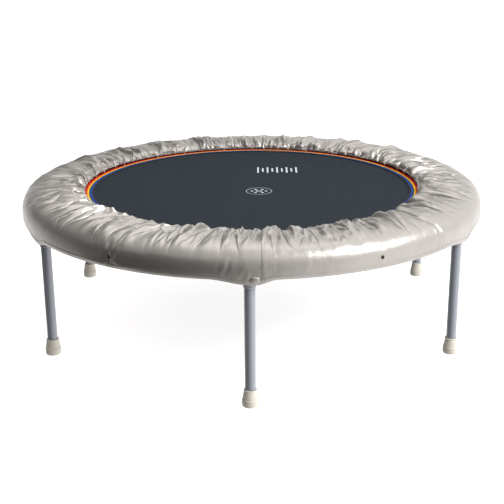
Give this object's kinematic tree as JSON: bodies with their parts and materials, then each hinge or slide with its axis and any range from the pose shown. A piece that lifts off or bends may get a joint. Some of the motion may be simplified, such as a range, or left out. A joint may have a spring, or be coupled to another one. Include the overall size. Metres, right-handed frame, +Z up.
{
  "type": "mini trampoline",
  "caption": "Round mini trampoline: padded gathered cover over a sprung mat in a tubular ring frame, on straight screw-in legs with rubber feet.",
  "frame": {"origin": "on the floor, at the centre of the ring", "axes": "+Z up, along the ring's axis; -Y towards one of the legs, the front one"},
  "size_m": [1.2, 1.2, 0.3775],
  "materials": {
    "powder_coated_steel": "light blue-grey powder coat, satin",
    "socket_steel": "light grey powder coat over a weld",
    "collar_plastic": "pale grey moulded plastic",
    "cream_rubber": "cream moulded rubber, matt",
    "spring_steel": "zinc-plated spring wire",
    "mat_fabric": "black woven polypropylene sheet, printed",
    "striped_webbing": "woven band in red, orange, yellow, green, blue and black stripes",
    "foam": "closed-cell foam",
    "silver_nylon": "coated silver-grey nylon with a satin sheen",
    "elastic": "woven elastic cord",
    "eyelet_metal": "dark nickel-plated eyelet",
    "mat_print": "pale screen print on the mat"
  },
  "bodies": {
    "frame": {"frame_ring": "powder_coated_steel", "leg_socket_1": "socket_steel", "leg_socket_2": "socket_steel", "leg_socket_3": "socket_steel", "leg_socket_4": "socket_steel", "leg_socket_5": "socket_steel", "leg_socket_6": "socket_steel", "spring_01": "spring_steel", "spring_02": "spring_steel", "spring_03": "spring_steel", "spring_04": "spring_steel", "spring_05": "spring_steel", "spring_06": "spring_steel", "spring_07": "spring_steel", "spring_08": "spring_steel", "spring_09": "spring_steel", "spring_10": "spring_steel", "spring_11": "spring_steel", "spring_12": "spring_steel", "spring_13": "spring_steel", "spring_14": "spring_steel", "spring_15": "spring_steel", "spring_16": "spring_steel", "spring_17": "spring_steel", "spring_18": "spring_steel", "spring_19": "spring_steel", "spring_20": "spring_steel", "spring_21": "spring_steel", "spring_22": "spring_steel", "spring_23": "spring_steel", "spring_24": "spring_steel", "spring_25": "spring_steel", "spring_26": "spring_steel", "spring_27": "spring_steel", "spring_28": "spring_steel", "spring_29": "spring_steel", "spring_30": "spring_steel", "foam_pad": "foam", "cover": "silver_nylon", "cover_elastic": "elastic"},
    "jumping_mat": {"mat": "mat_fabric", "mat_webbing": "striped_webbing"},
    "collar_1": {"leg_collar_1": "collar_plastic"},
    "screw_leg_1": {"leg_1": "powder_coated_steel", "foot_1": "cream_rubber"},
    "collar_2": {"leg_collar_2": "collar_plastic"},
    "screw_leg_2": {"leg_2": "powder_coated_steel", "foot_2": "cream_rubber"},
    "collar_3": {"leg_collar_3": "collar_plastic"},
    "screw_leg_3": {"leg_3": "powder_coated_steel", "foot_3": "cream_rubber"},
    "collar_4": {"leg_collar_4": "collar_plastic"},
    "screw_leg_4": {"leg_4": "powder_coated_steel", "foot_4": "cream_rubber"},
    "collar_5": {"leg_collar_5": "collar_plastic"},
    "screw_leg_5": {"leg_5": "powder_coated_steel", "foot_5": "cream_rubber"},
    "collar_6": {"leg_collar_6": "collar_plastic"},
    "screw_leg_6": {"leg_6": "powder_coated_steel", "foot_6": "cream_rubber"}
  },
  "joints": [
    {"name": "mat_bounce", "type": "slide", "parent": "frame", "child": "jumping_mat", "axis": [0, 0, 1], "range_m": [-0.1, 0], "stiffness_N_per_m": 7500, "springref_m": 0.002, "deforming": ["spring_01", "spring_02", "spring_03", "spring_04", "spring_05", "spring_06", "spring_07", "spring_08", "spring_09", "spring_10", "spring_11", "spring_12", "spring_13", "spring_14", "spring_15", "spring_16", "spring_17", "spring_18", "spring_19", "spring_20", "spring_21", "spring_22", "spring_23", "spring_24", "spring_25", "spring_26", "spring_27", "spring_28", "spring_29", "spring_30"]},
    {"name": "leg_1_lower", "type": "slide", "parent": "frame", "child": "collar_1", "axis": [0, 0, 1], "range_m": [-0.0245, 0]},
    {"name": "leg_1_unscrew", "type": "hinge", "parent": "collar_1", "child": "screw_leg_1", "pos_m": [0.4971, 0.287, 0.283], "axis": [0, 0, 1], "range_deg": [-5042, 0]},
    {"name": "leg_2_lower", "type": "slide", "parent": "frame", "child": "collar_2", "axis": [0, 0, 1], "range_m": [-0.0245, 0]},
    {"name": "leg_2_unscrew", "type": "hinge", "parent": "collar_2", "child": "screw_leg_2", "pos_m": [0, 0.574, 0.283], "axis": [0, 0, 1], "range_deg": [-5042, 0]},
    {"name": "leg_3_lower", "type": "slide", "parent": "frame", "child": "collar_3", "axis": [0, 0, 1], "range_m": [-0.0245, 0]},
    {"name": "leg_3_unscrew", "type": "hinge", "parent": "collar_3", "child": "screw_leg_3", "pos_m": [-0.4971, 0.287, 0.283], "axis": [0, 0, 1], "range_deg": [-5042, 0]},
    {"name": "leg_4_lower", "type": "slide", "parent": "frame", "child": "collar_4", "axis": [0, 0, 1], "range_m": [-0.0245, 0]},
    {"name": "leg_4_unscrew", "type": "hinge", "parent": "collar_4", "child": "screw_leg_4", "pos_m": [-0.4971, -0.287, 0.283], "axis": [0, 0, 1], "range_deg": [-5042, 0]},
    {"name": "leg_5_lower", "type": "slide", "parent": "frame", "child": "collar_5", "axis": [0, 0, 1], "range_m": [-0.0245, 0]},
    {"name": "leg_5_unscrew", "type": "hinge", "parent": "collar_5", "child": "screw_leg_5", "pos_m": [0, -0.574, 0.283], "axis": [0, 0, 1], "range_deg": [-5042, 0]},
    {"name": "leg_6_lower", "type": "slide", "parent": "frame", "child": "collar_6", "axis": [0, 0, 1], "range_m": [-0.0245, 0]},
    {"name": "leg_6_unscrew", "type": "hinge", "parent": "collar_6", "child": "screw_leg_6", "pos_m": [0.4971, -0.287, 0.283], "axis": [0, 0, 1], "range_deg": [-5042, 0]}
  ],
  "couplings": [
    {"joint": "leg_1_unscrew", "follows": "leg_1_lower", "rad_per_m": 3590.4},
    {"joint": "leg_2_unscrew", "follows": "leg_2_lower", "rad_per_m": 3590.4},
    {"joint": "leg_3_unscrew", "follows": "leg_3_lower", "rad_per_m": 3590.4},
    {"joint": "leg_4_unscrew", "follows": "leg_4_lower", "rad_per_m": 3590.4},
    {"joint": "leg_5_unscrew", "follows": "leg_5_lower", "rad_per_m": 3590.4},
    {"joint": "leg_6_unscrew", "follows": "leg_6_lower", "rad_per_m": 3590.4}
  ]
}
